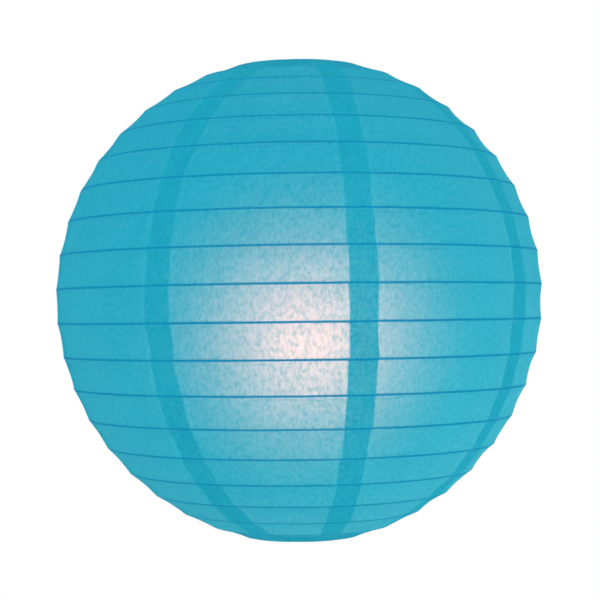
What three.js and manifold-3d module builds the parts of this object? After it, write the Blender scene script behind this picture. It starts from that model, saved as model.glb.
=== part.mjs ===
// A round paper lantern: eight paper gores over spring-steel hoops, stretched between two end rings by a
// wire expander, with a small battery lamp hung inside. Millimetres, +Z up. The origin is the point where
// a hook bears in the expander's eye, so the lantern hangs below it.
import * as THREE from "three";
import { mergeVertices } from "three/addons/utils/BufferGeometryUtils.js";
import Module from "manifold-3d";

const wasm = await Module();
wasm.setup();

// Shade
const shadeDiameter = 305; // over the paper at its widest
const topRingDiameter = 79.5; // centre line of the ring wire
const bottomRingDiameter = 71.8;
const ringWire = 2;
const ribWire = 1.2;
const ribCount = 18;
const profileSkew = 0.008; // the upper half stands this much fuller than a sphere, the lower half slimmer
const goreCount = 8;
const firstSeamAzimuth = -79.5; // degrees round from +X to the leading edge of gore_1
const lapMiddle = 16; // width of the glued lap at the widest rib and at the end rings
const lapEnd = 13.5;
const stripsPerGore = 4; // flat strips between one lap and the next
const paperThickness = 0.2;

// Expander
const expanderWire = 2.2;
const eyeBore = 14; // inside of the hanging eye
const eyeBelowTopRing = 3; // bearing point, below the plane of the top ring
const dipHalfWidth = 12; // flat stretch each side of the eye
const notchArm = 6; // each arm of the notches that hold the end rings
const notchSlope = 30; // degrees
const notchRun = 9; // height in which a notch returns to the leg's line
const heelLength = 4; // straight end below the bottom ring
const legRunningGap = 1; // between a leg and the ring that slides along it
const bendRadius = 3.5;

// Lamp
const lampDrop = 24; // globe's centre below the shade's centre
const hangerWire = 1.6;
const hangerHookBore = 10;
const hookTail = 5;
const earBar = 3; // diameter of the bar that the hanger carries
const earSpan = 14; // outside of the ear's posts
const globeDiameter = 48;
const globeWall = 1.2;
const globeNeck = 6;
const housingDiameter = 36;
const housingWall = 1.6;
const boardThickness = 1.6;
const switchBay = 8; // room above the board for the switch
const cellDiameter = 10.5;
const cellLength = 44.5;
const nubHeight = 1;
const cellCount = 3;
const cellSpacing = 0.6; // between neighbouring cells
const plateThickness = 0.4;
const plateBore = 3;
const cradleDisc = 1.4;
const postDiameter = 4.8;
const capThickness = 2.4;
const capPlug = 4; // depth of the cap's skirt in the housing
const screwDiameter = 2.4;
const screwHead = 5.2;
const screwBite = 8; // into the cradle's post
const ledCount = 3;
const ledDiameter = 5;
const ledCircle = 14;
const doorAngle = 64; // degrees of the housing's wall
const doorMargin = 2; // the door stops this far inside the cradle's discs
const knobWidth = 3.4;
const knobHeight = 3.6;
const knobProud = 2;
const knobTravel = 3;
const switchSize = { width: 8, depth: 5, height: 6 };

// Clearances
const gap = 0.3; // between pieces that touch
const overcut = 1; // cuts and joined pieces run this far past a face
const wireSides = 6;
const ribSides = 4;
const eyeSteps = 20;

const paperRadius = shadeDiameter / 2;
const lapPitch = paperThickness + gap; // outward climb of a gore from one seam to the next
const seamStep = 360 / goreCount;
const housingBore = housingDiameter / 2 - housingWall;
const insideFit = housingBore - gap; // radius of what slides into the housing

const materials = {
  paper: new THREE.MeshStandardMaterial({ color: 0x2fb4d2, roughness: 0.85, side: THREE.DoubleSide }),
  wire: new THREE.MeshStandardMaterial({ color: 0xb9bcc0, roughness: 0.35, metalness: 0.9 }),
  rib: new THREE.MeshStandardMaterial({ color: 0x8d9398, roughness: 0.5, metalness: 0.8 }),
  plastic: new THREE.MeshStandardMaterial({ color: 0xeeeeea, roughness: 0.45 }),
  frosted: new THREE.MeshStandardMaterial({ color: 0xf7f8fa, roughness: 0.6 }),
  board: new THREE.MeshStandardMaterial({ color: 0x2f6a45, roughness: 0.5 }),
  led: new THREE.MeshStandardMaterial({ color: 0xfff4d8, roughness: 0.2 }),
  nickel: new THREE.MeshStandardMaterial({ color: 0xc8c6bd, roughness: 0.3, metalness: 1 }),
  cell: new THREE.MeshStandardMaterial({ color: 0x4b4f55, roughness: 0.4, metalness: 0.3 }),
  knob: new THREE.MeshStandardMaterial({ color: 0x3a3d42, roughness: 0.5 }),
};

const radians = THREE.MathUtils.degToRad;
const point = (x, y, z) => new THREE.Vector3(x, y, z);

// ---- Solids ----

// A closed solid from points and triangles, with its faces turned outwards.
function solidFrom(points, faces) {
  let volume = 0;
  for (let i = 0; i < faces.length; i += 3) {
    const [a, b, c] = [points[faces[i]], points[faces[i + 1]], points[faces[i + 2]]];
    volume += a.dot(b.clone().cross(c));
  }
  const geometry = new THREE.BufferGeometry().setFromPoints(points);
  geometry.setIndex(volume < 0 ? faces.toReversed() : faces);
  return geometry;
}

// Joins equal rings of points into a tube that is capped, or that closes on itself.
function skin(rings, closed) {
  const sides = rings[0].length;
  const spans = closed ? rings.length : rings.length - 1;
  const faces = [];
  for (let i = 0; i < spans; i++) {
    const here = i * sides;
    const there = ((i + 1) % rings.length) * sides;
    for (let k = 0; k < sides; k++) {
      const next = (k + 1) % sides;
      faces.push(here + k, here + next, there + next, here + k, there + next, there + k);
    }
  }
  const last = (rings.length - 1) * sides;
  for (let k = 1; !closed && k < sides - 1; k++) {
    faces.push(0, k + 1, k, last, last + k, last + k + 1);
  }
  return solidFrom(rings.flat(), faces);
}

// A thin wall between two equal grids of points.
function wallBetween(outer, inner) {
  const rows = outer.length;
  const columns = outer[0].length;
  const size = rows * columns;
  const faces = [];
  const quad = (a, b, c, d) => faces.push(a, b, c, a, c, d);
  for (let r = 0; r < rows - 1; r++) {
    for (let c = 0; c < columns - 1; c++) {
      const a = r * columns + c;
      quad(a, a + 1, a + columns + 1, a + columns);
      faces.push(size + a, size + a + columns + 1, size + a + 1);
      faces.push(size + a, size + a + columns, size + a + columns + 1);
    }
    const left = r * columns;
    const right = left + columns - 1;
    quad(left, left + columns, size + left + columns, size + left);
    quad(right + columns, right, size + right, size + right + columns);
  }
  for (let c = 0; c < columns - 1; c++) {
    const top = (rows - 1) * columns + c;
    quad(c + 1, c, size + c, size + c + 1);
    quad(top, top + 1, size + top + 1, size + top);
  }
  return solidFrom([...outer.flat(), ...inner.flat()], faces);
}

// Round wire along a run of points. side is a direction that the run never turns into.
function wireAlong(path, diameter, side) {
  const rings = path.map((here, i) => {
    const before = here.clone().sub(path[i - 1] ?? here).normalize();
    const after = (path[i + 1] ?? here).clone().sub(here).normalize();
    const along = before.add(after).normalize();
    const up = along.clone().cross(side).normalize();
    const across = up.clone().cross(along);
    return Array.from({ length: wireSides }, (_, k) => {
      const turn = ((k + 0.5) / wireSides) * 2 * Math.PI;
      const out = up.clone().multiplyScalar(Math.cos(turn)).addScaledVector(across, Math.sin(turn));
      return here.clone().addScaledVector(out, diameter / 2);
    });
  });
  return skin(rings, false);
}

// A run of points through corners, each rounded off to about the given radius.
function rounded(corners, radius, steps = 3) {
  const path = [corners[0]];
  for (let i = 1; i < corners.length - 1; i++) {
    const here = corners[i];
    const back = corners[i - 1].clone().sub(here);
    const on = corners[i + 1].clone().sub(here);
    const halfTurn = (Math.PI - back.angleTo(on)) / 2;
    const reach = Math.min(radius * Math.tan(halfTurn), 0.45 * Math.min(back.length(), on.length()));
    const start = here.clone().addScaledVector(back.normalize(), reach);
    const end = here.clone().addScaledVector(on.normalize(), reach);
    path.push(...new THREE.QuadraticBezierCurve3(start, here, end).getPoints(steps));
  }
  return [...path, corners.at(-1)];
}

// An arc of points in a plane given by two unit directions, from one angle to another.
function arcPoints(centre, radius, first, second, from, to, steps) {
  return Array.from({ length: steps + 1 }, (_, i) => {
    const turn = from + ((to - from) * i) / steps;
    return centre
      .clone()
      .addScaledVector(first, radius * Math.cos(turn))
      .addScaledVector(second, radius * Math.sin(turn));
  });
}

function toManifold(geometry) {
  const bare = geometry.clone();
  bare.deleteAttribute("normal");
  bare.deleteAttribute("uv");
  const merged = mergeVertices(bare, 1e-4);
  return new wasm.Manifold(
    new wasm.Mesh({
      numProp: 3,
      vertProperties: merged.attributes.position.array,
      triVerts: new Uint32Array(merged.index.array),
    }),
  );
}

function fromManifold(solid) {
  const { vertProperties, triVerts } = solid.getMesh();
  const geometry = new THREE.BufferGeometry();
  geometry.setAttribute("position", new THREE.BufferAttribute(vertProperties, 3));
  geometry.setIndex(new THREE.BufferAttribute(triVerts, 1));
  return geometry;
}

const joined = (...parts) => fromManifold(parts.map(toManifold).reduce((a, b) => a.add(b)));
const cutFrom = (body, ...tools) =>
  fromManifold(tools.map(toManifold).reduce((a, b) => a.subtract(b), toManifold(body)));

// A solid of revolution about Z from [radius, z] pairs, which start and end on the axis or close up.
function turned(profile, segments = 24) {
  const lathe = new THREE.LatheGeometry(profile.map(([r, z]) => new THREE.Vector2(r, z)), segments);
  return lathe.rotateX(Math.PI / 2);
}

const disc = (radius, low, high, segments) =>
  turned([[0, low], [radius, low], [radius, high], [0, high]], segments);
const tube = (inner, outer, low, high, segments) =>
  turned([[inner, low], [outer, low], [outer, high], [inner, high], [inner, low]], segments);
const box = (width, depth, low, high) =>
  new THREE.BoxGeometry(width, depth, high - low).translate(0, 0, (low + high) / 2);

// A sector of a tube's wall, centred on a direction in degrees.
function wallSector(inner, outer, low, high, middle, spread, segments = 8) {
  const from = radians(middle - spread / 2);
  const to = radians(middle + spread / 2);
  const outline = new THREE.Shape();
  outline.absarc(0, 0, outer, from, to, false);
  outline.absarc(0, 0, inner, to, from, true);
  const options = { depth: high - low, bevelEnabled: false, curveSegments: segments };
  return new THREE.ExtrudeGeometry(outline, options).translate(0, 0, low);
}

const lantern = new THREE.Group();

function addTo(parent, name, geometry, material, place = point(0, 0, 0)) {
  const mesh = new THREE.Mesh(geometry, material);
  mesh.name = name;
  mesh.position.copy(place);
  parent.add(mesh);
  return mesh;
}

// ---- Shade ----

// Distance of the shade's surface from its centre, for a surface that is this far out at the equator.
const reachAt = (radius, latitude) => radius * (1 + profileSkew * Math.sin(2 * latitude));

// Latitude at which a ring of this radius lies in the surface, on the upper or lower half.
function latitudeOf(ringRadius, surface, half) {
  let latitude = half;
  for (let i = 0; i < 30; i++) {
    latitude = half * Math.acos(ringRadius / reachAt(surface, latitude));
  }
  return latitude;
}

const wireReach = (diameter) => paperRadius - paperThickness - gap - diameter / 2;
const topLatitude = latitudeOf(topRingDiameter / 2, wireReach(ringWire), 1);
const bottomLatitude = latitudeOf(bottomRingDiameter / 2, wireReach(ringWire), -1);

// Every hoop from the top ring to the bottom ring, at even steps of latitude.
const hoops = Array.from({ length: ribCount + 2 }, (_, i) => {
  const latitude = topLatitude + ((bottomLatitude - topLatitude) * i) / (ribCount + 1);
  const diameter = i === 0 || i === ribCount + 1 ? ringWire : ribWire;
  const reach = reachAt(wireReach(diameter), latitude);
  return { latitude, diameter, radius: reach * Math.cos(latitude), height: reach * Math.sin(latitude) };
});
const [topRing, bottomRing] = [hoops[0], hoops.at(-1)];

const topHeight = eyeBelowTopRing;
const centreHeight = topHeight - topRing.height;
const bottomHeight = centreHeight + bottomRing.height;
const shade = new THREE.Group();
shade.position.z = centreHeight;
lantern.add(shade);

// Angle of the lap at one hoop: its width tapers from the widest hoop to the ends.
function lapAngle(hoop) {
  const width = lapEnd + (lapMiddle - lapEnd) * Math.cos(hoop.latitude);
  return width / hoop.radius;
}

// Azimuths of one gore's corners from its leading edge: across the lap, then in even strips.
function goreAzimuths(hoop) {
  const lap = lapAngle(hoop);
  const step = (radians(seamStep) - lap) / stripsPerGore;
  return [0, ...Array.from({ length: stripsPerGore + 1 }, (_, i) => lap + i * step)];
}

function hoopSolid(hoop) {
  const sides = hoop.diameter === ringWire ? wireSides : ribSides;
  const rings = [];
  for (let gore = 0; gore < goreCount; gore++) {
    const start = radians(firstSeamAzimuth + gore * seamStep);
    for (const azimuth of goreAzimuths(hoop).slice(0, -1)) {
      const out = point(Math.cos(start + azimuth), Math.sin(start + azimuth), 0);
      const centre = out.clone().multiplyScalar(hoop.radius).setZ(hoop.height);
      const up = point(0, 0, 1);
      rings.push(arcPoints(centre, hoop.diameter / 2, out, up, 0, 2 * Math.PI, sides).slice(0, -1));
    }
  }
  return skin(rings, true);
}

// One gore climbs outwards by lapPitch from seam to seam, so that its far edge laps over the next gore.
function goreSolid(index) {
  const start = radians(firstSeamAzimuth + index * seamStep);
  const layer = (depth) =>
    hoops.map((hoop) => {
      const azimuths = [...goreAzimuths(hoop), radians(seamStep) + lapAngle(hoop)];
      return azimuths.map((azimuth) => {
        const climb = (lapPitch * azimuth) / radians(seamStep);
        const out = hoop.diameter / 2 + gap + depth + climb;
        const radius = hoop.radius + out * Math.cos(hoop.latitude);
        const height = hoop.height + out * Math.sin(hoop.latitude);
        return point(radius * Math.cos(start + azimuth), radius * Math.sin(start + azimuth), height);
      });
    });
  return wallBetween(layer(paperThickness), layer(0));
}

addTo(shade, "top_ring", hoopSolid(topRing), materials.wire);
addTo(shade, "bottom_ring", hoopSolid(bottomRing), materials.wire);
for (let i = 1; i <= ribCount; i++) {
  addTo(shade, `rib_${String(i).padStart(2, "0")}`, hoopSolid(hoops[i]), materials.rib);
}
for (let i = 0; i < goreCount; i++) {
  addTo(shade, `gore_${i + 1}`, goreSolid(i), materials.paper);
}

// ---- Expander ----

const yAxis = point(0, 1, 0);
const legX = bottomRing.radius - ringWire / 2 - expanderWire / 2 - legRunningGap;
const eyeCentre = -eyeBore / 2;
const eyeTurn = (eyeBore + expanderWire) / 2; // radius of the eye's centre line
const dipHeight = eyeCentre - eyeTurn;
const eyeShift = (expanderWire + gap) / 2 + 0.05; // half the step from the wire's start to its end round the eye

// The three corners of a notch in the right-hand wire: its inner end, the seat under the ring, and its tip.
// press is +1 where the wire pushes the ring up and -1 where it pushes it down.
function notch(ring, height, press) {
  const slope = radians(notchSlope);
  const away = (ringWire + expanderWire) / 2 + gap;
  const seatX = ring.radius - away * Math.sin(slope);
  const seatZ = height - press * away * Math.cos(slope);
  const along = (distance) =>
    point(seatX + distance * Math.cos(slope), 0, seatZ - press * distance * Math.sin(slope));
  return { inner: along(-notchArm), tip: along(notchArm) };
}

const shoulder = notch(topRing, topHeight, 1);
const foot = notch(bottomRing, bottomHeight, -1);
const jointHeight = shoulder.tip.z - notchRun - gap; // where the legs take over from the bar

function expanderBar() {
  const rightArm = [
    point(dipHalfWidth, eyeShift, dipHeight),
    shoulder.inner,
    shoulder.tip,
    point(legX, 0, shoulder.tip.z - notchRun + bendRadius / 2),
    point(legX, 0, jointHeight + gap / 2),
  ];
  const mirrored = ({ x, y, z }) => point(-x, -y, z);
  const eyeStart = point(0, -eyeShift, dipHeight);
  const eyeEnd = point(0, eyeShift, dipHeight);
  const centre = point(0, 0, eyeCentre);
  const eye = arcPoints(centre, eyeTurn, point(1, 0, 0), point(0, 0, 1), -Math.PI / 2, 1.5 * Math.PI, eyeSteps);
  eye.forEach((p, i) => p.setY(eyeShift * ((2 * i) / eyeSteps - 1)));
  const right = rounded([eyeEnd, ...rightArm], bendRadius);
  const left = rounded([...rightArm.toReversed().map(mirrored), eyeStart], bendRadius);
  return wireAlong([...left.slice(0, -1), ...eye, ...right.slice(1)], expanderWire, yAxis);
}

// One leg, on the side given by +1 or -1. It stands for the springy stretch of the same wire.
function expanderLeg(side) {
  const corners = [
    point(legX, 0, jointHeight - gap / 2),
    point(legX, 0, foot.tip.z + notchRun - bendRadius / 2),
    foot.tip,
    foot.inner,
    point(foot.inner.x, 0, foot.inner.z - heelLength),
  ];
  const placed = corners.map(({ x, y, z }) => point(side * x, y, z));
  return wireAlong(rounded(placed, bendRadius), expanderWire, yAxis);
}

addTo(lantern, "expander_bar", expanderBar(), materials.wire);
addTo(lantern, "leg_left", expanderLeg(-1), materials.wire);
addTo(lantern, "leg_right", expanderLeg(1), materials.wire);

// ---- Lamp ----
// Built about the globe's centre. Each height follows from the piece below it.

const globeRadius = globeDiameter / 2;
const neckHeight = Math.sqrt(globeRadius ** 2 - insideFit ** 2);
const housingLow = neckHeight + gap;
const boardLow = neckHeight + globeNeck + gap;
const boardHigh = boardLow + boardThickness;
const cradleLow = boardHigh + switchBay;
const lowerPlate = cradleLow + cradleDisc + gap;
const cellLow = lowerPlate + plateThickness + gap;
const cellHigh = cellLow + cellLength;
const upperPlate = cellHigh + gap;
const upperDisc = upperPlate + plateThickness + gap;
const cradleHigh = upperDisc + cradleDisc;
const capLow = cradleHigh + gap + capPlug;
const capHigh = capLow + capThickness;
const housingHigh = capLow - gap;
const earHook = (earBar + hangerWire) / 2 + gap; // centre-line radius of the hanger's lower hook
const earHeight = capHigh + earHook + hangerWire / 2 + 1;
const cellCircle = (cellDiameter + cellSpacing) / Math.sqrt(3);
const postCircle = insideFit - gap - postDiameter / 2;
const plateRadius = postCircle - postDiameter / 2 - gap;

const lamp = new THREE.Group();
const lampHeight = centreHeight - lampDrop;
lamp.position.z = lampHeight;
lantern.add(lamp);

const cellAngles = Array.from({ length: cellCount }, (_, i) => -90 + (i * 360) / cellCount);
const postAngles = cellAngles.map((angle) => angle + 180 / cellCount);
const onCircle = (radius, degrees, z = 0) =>
  point(radius * Math.cos(radians(degrees)), radius * Math.sin(radians(degrees)), z);
const [firstScrewAngle, , secondScrewAngle] = postAngles;
const screwPlaces = [onCircle(postCircle, firstScrewAngle), onCircle(postCircle, secondScrewAngle)];
const screwHoles = (low, high) =>
  screwPlaces.map((p) => disc(screwDiameter / 2 + gap, low, high, 10).translate(p.x, p.y, 0));

function globe() {
  const profile = [];
  const steps = 9;
  const shell = (radius, neckRadius) => {
    const end = Math.asin(Math.sqrt(1 - (neckRadius / radius) ** 2));
    return Array.from({ length: steps + 1 }, (_, i) => {
      const latitude = -Math.PI / 2 + ((end + Math.PI / 2) * i) / steps;
      return [i ? radius * Math.cos(latitude) : 0, radius * Math.sin(latitude)];
    });
  };
  profile.push(...shell(globeRadius, insideFit));
  profile.push([insideFit, neckHeight + globeNeck], [insideFit - globeWall, neckHeight + globeNeck]);
  profile.push(...shell(globeRadius - globeWall, insideFit - globeWall).reverse());
  return turned(profile, 24);
}

function housing() {
  const slot = knobHeight + knobTravel + 2 * gap;
  const slotCut = box(knobWidth + 2 * gap, 3 * housingWall, knobLow - gap, knobLow - gap + slot);
  slotCut.translate(0, housingDiameter / 2, 0);
  const side = (360 * gap) / (Math.PI * housingDiameter);
  const doorCut = wallSector(
    housingBore - overcut, housingDiameter / 2 + overcut, doorLow - gap, doorHigh + gap, -90, doorAngle + 2 * side,
  );
  return cutFrom(tube(housingBore, housingDiameter / 2, housingLow, housingHigh, 28), doorCut, slotCut);
}

function cradle() {
  const posts = postAngles.map((angle) => {
    const { x, y } = onCircle(postCircle, angle);
    return disc(postDiameter / 2, cradleLow, cradleHigh, 10).translate(x, y, 0);
  });
  const lower = disc(insideFit, cradleLow, cradleLow + cradleDisc);
  const upper = disc(insideFit, upperDisc, cradleHigh);
  const body = joined(lower, upper, ...posts);
  return cutFrom(body, ...screwHoles(cradleHigh - screwBite - gap, cradleHigh + overcut));
}

function cap() {
  const plate = disc(housingDiameter / 2, capLow, capHigh, 28);
  const skirt = tube(insideFit - housingWall, insideFit, capLow - capPlug, capLow + overcut, 28);
  const bosses = screwPlaces.map(({ x, y }) =>
    disc(postDiameter / 2, capLow - capPlug, capLow + overcut, 10).translate(x, y, 0),
  );
  const bar = disc(earBar / 2, -earSpan / 2, earSpan / 2, 12).rotateY(Math.PI / 2).translate(0, 0, earHeight);
  const posts = [-1, 1].map((side) =>
    box(earBar, earBar, capHigh - overcut, earHeight).translate((side * (earSpan - earBar)) / 2, 0, 0),
  );
  return cutFrom(joined(plate, skirt, ...bosses, bar, ...posts), ...screwHoles(cradleHigh, capHigh + overcut));
}

function screw() {
  const low = cradleHigh - screwBite;
  const seat = capHigh + gap;
  const [shank, head] = [screwDiameter / 2, screwHead / 2];
  const dome = [[head, seat + 0.6], [head * 0.7, seat + 1.5], [0, seat + 1.8]];
  return turned([[0, low], [shank, low + 1], [shank, seat], [head, seat], ...dome], 12);
}

function cellSolid() {
  const [body, nub] = [cellDiameter / 2, cellDiameter / 6];
  const nubLow = cellHigh - nubHeight;
  const profile = [[0, cellLow], [body, cellLow], [body, nubLow], [nub, nubLow], [nub, cellHigh], [0, cellHigh]];
  return turned(profile, 18);
}

function led() {
  const [radius, base] = [ledDiameter / 2, boardLow - gap];
  const profile = [[0, base], [radius + 0.4, base], [radius + 0.4, base - 1], [radius, base - 1]];
  const dome = Array.from({ length: 4 }, (_, i) => {
    const turn = (i * Math.PI) / 6;
    return [i === 3 ? 0 : radius * Math.cos(turn), base - 4 - radius * Math.sin(turn)];
  });
  return turned([...profile, ...dome].reverse(), 12);
}

const doorLow = cradleLow + cradleDisc + doorMargin;
const doorHigh = upperDisc - doorMargin;
const switchLow = boardHigh + gap;
const switchFace = insideFit - 3; // the knob's foot runs on this face
const knobLow = switchLow + gap;

addTo(lamp, "lamp_globe", globe(), materials.frosted);
addTo(lamp, "lamp_housing", housing(), materials.plastic);
const doorSolid = wallSector(housingBore, housingDiameter / 2, doorLow, doorHigh, -90, doorAngle);
addTo(lamp, "battery_door", doorSolid, materials.plastic);
addTo(lamp, "led_board", disc(insideFit, boardLow, boardHigh), materials.board);
for (let i = 0; i < ledCount; i++) {
  addTo(lamp, `led_${i + 1}`, led(), materials.led, onCircle(ledCircle / 2, 90 + (i * 360) / ledCount));
}
const switchBox = box(switchSize.width, switchSize.depth, switchLow, switchLow + switchSize.height);
addTo(lamp, "switch_body", switchBox, materials.knob, point(0, switchFace - switchSize.depth / 2, 0));
const knobDepth = housingDiameter / 2 + knobProud - switchFace - gap;
const knobSolid = box(knobWidth, knobDepth, knobLow, knobLow + knobHeight);
addTo(lamp, "switch_knob", knobSolid, materials.knob, point(0, switchFace + gap + knobDepth / 2, 0));
addTo(lamp, "cell_cradle", cradle(), materials.plastic);
const contactPlate = (low) => tube(plateBore / 2, plateRadius, low, low + plateThickness);
addTo(lamp, "contact_plate_lower", contactPlate(lowerPlate), materials.nickel);
addTo(lamp, "contact_plate_upper", contactPlate(upperPlate), materials.nickel);
cellAngles.forEach((angle, i) => {
  addTo(lamp, `cell_${i + 1}`, cellSolid(), materials.cell, onCircle(cellCircle, angle));
});
addTo(lamp, "lamp_cap", cap(), materials.plastic);
screwPlaces.forEach((place, i) => addTo(lamp, `cap_screw_${i + 1}`, screw(), materials.nickel, place));

// The hanger: a hook over the foot of the eye, and a smaller one under the ear's bar.
function hanger() {
  const xAxis = point(1, 0, 0);
  const zAxis = point(0, 0, 1);
  const upper = (hangerHookBore + hangerWire) / 2;
  const bar = point(0, 0, lampHeight + earHeight);
  const top = arcPoints(hookCentre, upper, yAxis, zAxis, Math.PI, 0, 8);
  const foot = arcPoints(bar, earHook, yAxis, zAxis, 0, -Math.PI, 8);
  const jog = rounded(
    [top.at(-1), point(0, upper, hookCentre.z - 10), point(0, earHook, hookCentre.z - 18), foot[0]],
    bendRadius,
  );
  const path = [
    point(0, -upper, hookCentre.z - hookTail),
    ...top,
    ...jog.slice(1, -1),
    ...foot,
    point(0, -earHook, bar.z + hookTail),
  ];
  return wireAlong(path, hangerWire, xAxis);
}

const hookReach = hangerHookBore / 2 - expanderWire / 2 - gap;
const hookCentre = point(0, 0, dipHeight - Math.sqrt(hookReach ** 2 - eyeShift ** 2));
addTo(lantern, "lamp_hanger", hanger(), materials.wire);

export default lantern;
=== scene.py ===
# A round turquoise paper lantern, lit from inside: eight lapped tissue gores stretched over sprung hoops by a
# wire expander, with a battery lamp hung in the middle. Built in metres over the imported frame.
import math

import bmesh
import bpy
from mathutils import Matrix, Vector, noise


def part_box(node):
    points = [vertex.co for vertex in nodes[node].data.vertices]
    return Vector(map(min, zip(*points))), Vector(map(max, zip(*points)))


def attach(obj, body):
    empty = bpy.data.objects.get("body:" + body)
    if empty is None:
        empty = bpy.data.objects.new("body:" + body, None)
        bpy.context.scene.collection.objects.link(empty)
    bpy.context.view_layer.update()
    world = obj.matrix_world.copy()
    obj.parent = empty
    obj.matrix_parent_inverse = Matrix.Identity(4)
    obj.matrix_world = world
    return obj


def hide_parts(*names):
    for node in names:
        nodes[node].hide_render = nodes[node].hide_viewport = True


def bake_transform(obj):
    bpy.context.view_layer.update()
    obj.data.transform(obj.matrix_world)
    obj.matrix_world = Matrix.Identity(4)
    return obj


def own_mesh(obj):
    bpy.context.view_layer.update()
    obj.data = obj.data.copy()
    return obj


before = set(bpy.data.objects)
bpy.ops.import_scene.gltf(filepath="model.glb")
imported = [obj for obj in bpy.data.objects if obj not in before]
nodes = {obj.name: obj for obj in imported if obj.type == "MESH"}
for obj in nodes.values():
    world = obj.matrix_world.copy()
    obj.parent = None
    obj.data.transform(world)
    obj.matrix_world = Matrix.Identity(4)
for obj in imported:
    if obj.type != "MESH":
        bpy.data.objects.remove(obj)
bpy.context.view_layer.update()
scene = bpy.context.scene
mm = 0.001


# Small helpers for nodes


def addNode(tree, kind, **values):
    node = tree.nodes.new(kind)
    for name, value in values.items():
        setattr(node, name, value)
    return node


def setInputs(node, **values):
    for name, value in values.items():
        node.inputs[name].default_value = value
    return node


def joinNodes(tree, *pairs):
    for start, end in pairs:
        tree.links.new(start, end)


def rampNode(tree, stops, factor=None):
    ramp = addNode(tree, "ShaderNodeValToRGB")
    elements = ramp.color_ramp.elements
    while len(elements) < len(stops):
        elements.new(0.5)
    for element, (place, colour) in zip(elements, stops):
        element.position = place
        element.color = (*colour, 1) if len(colour) == 3 else colour
    if factor is not None:
        tree.links.new(factor, ramp.inputs["Fac"])
    return ramp


def mathNode(tree, operation, first, second=None, clamp=False):
    node = addNode(tree, "ShaderNodeMath", operation=operation, use_clamp=clamp)
    for socket, value in zip(node.inputs, (first, second)):
        if value is None:
            continue
        if isinstance(value, (int, float)):
            socket.default_value = value
        else:
            tree.links.new(value, socket)
    return node.outputs["Value"]


def mixColours(tree, factor, first, second, blend="MIX"):
    node = addNode(tree, "ShaderNodeMix", data_type="RGBA", blend_type=blend)
    for socket, value in zip((node.inputs[0], node.inputs[6], node.inputs[7]), (factor, first, second)):
        if isinstance(value, (int, float, tuple)):
            socket.default_value = value if not isinstance(value, tuple) else (*value, 1)
        else:
            tree.links.new(value, socket)
    return node.outputs[2]


def startMaterial(name):
    material = bpy.data.materials.new(name)
    material.use_nodes = True
    tree = material.node_tree
    return material, tree, tree.nodes["Principled BSDF"], tree.nodes["Material Output"]


# Shader groups that several finishes share


def shaderGroup(name, inputs, outputs):
    group = bpy.data.node_groups.new(name, "ShaderNodeTree")
    for label, kind, value in inputs:
        socket = group.interface.new_socket(label, in_out="INPUT", socket_type=kind)
        if value is not None:
            socket.default_value = value
    for label, kind in outputs:
        group.interface.new_socket(label, in_out="OUTPUT", socket_type=kind)
    return group, addNode(group, "NodeGroupInput"), addNode(group, "NodeGroupOutput")


def makeFineGrain():
    # moulding grain or drawn-metal streaks: one height and one slow tone from a stretched noise
    group, given, result = shaderGroup(
        "fineGrain",
        [("Vector", "NodeSocketVector", None), ("Grain Size", "NodeSocketFloat", 0.001),
         ("Patch Size", "NodeSocketFloat", 0.01)],
        [("Height", "NodeSocketFloat"), ("Tone", "NodeSocketFloat")],
    )
    for size, label, detail in (("Grain Size", "Height", 4), ("Patch Size", "Tone", 2)):
        scale = addNode(group, "ShaderNodeMath", operation="DIVIDE")
        scale.inputs[0].default_value = 1
        grain = addNode(group, "ShaderNodeTexNoise")
        setInputs(grain, Detail=detail, Roughness=0.6)
        joinNodes(
            group,
            (given.outputs[size], scale.inputs[1]),
            (given.outputs["Vector"], grain.inputs["Vector"]),
            (scale.outputs[0], grain.inputs["Scale"]),
            (grain.outputs["Fac"], result.inputs[label]),
        )
    return group


def makeHandling():
    # rubbed places and a little dust: a mask from two noises, for tone and roughness
    group, given, result = shaderGroup(
        "handlingMarks",
        [
            ("Vector", "NodeSocketVector", None),
            ("Size", "NodeSocketFloat", 0.012),
            ("Amount", "NodeSocketFloat", 0.5),
        ],
        [("Mask", "NodeSocketFloat")],
    )
    scale = addNode(group, "ShaderNodeMath", operation="DIVIDE")
    scale.inputs[0].default_value = 1
    marks = addNode(group, "ShaderNodeTexNoise")
    setInputs(marks, Detail=5, Roughness=0.7, Distortion=0.6)
    limits = addNode(group, "ShaderNodeMapRange")
    setInputs(limits, **{"From Min": 0.48, "From Max": 0.72})
    joinNodes(
        group,
        (given.outputs["Size"], scale.inputs[1]),
        (given.outputs["Vector"], marks.inputs["Vector"]),
        (scale.outputs[0], marks.inputs["Scale"]),
        (marks.outputs["Fac"], limits.inputs["Value"]),
        (given.outputs["Amount"], limits.inputs["To Max"]),
        (limits.outputs["Result"], result.inputs["Mask"]),
    )
    return group


fineGrain = makeFineGrain()
handlingMarks = makeHandling()


def placeGroup(tree, group, vector, **values):
    node = addNode(tree, "ShaderNodeGroup", node_tree=group)
    tree.links.new(vector, node.inputs["Vector"])
    for name, value in values.items():
        node.inputs[name.replace("_", " ")].default_value = value
    return node


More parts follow.
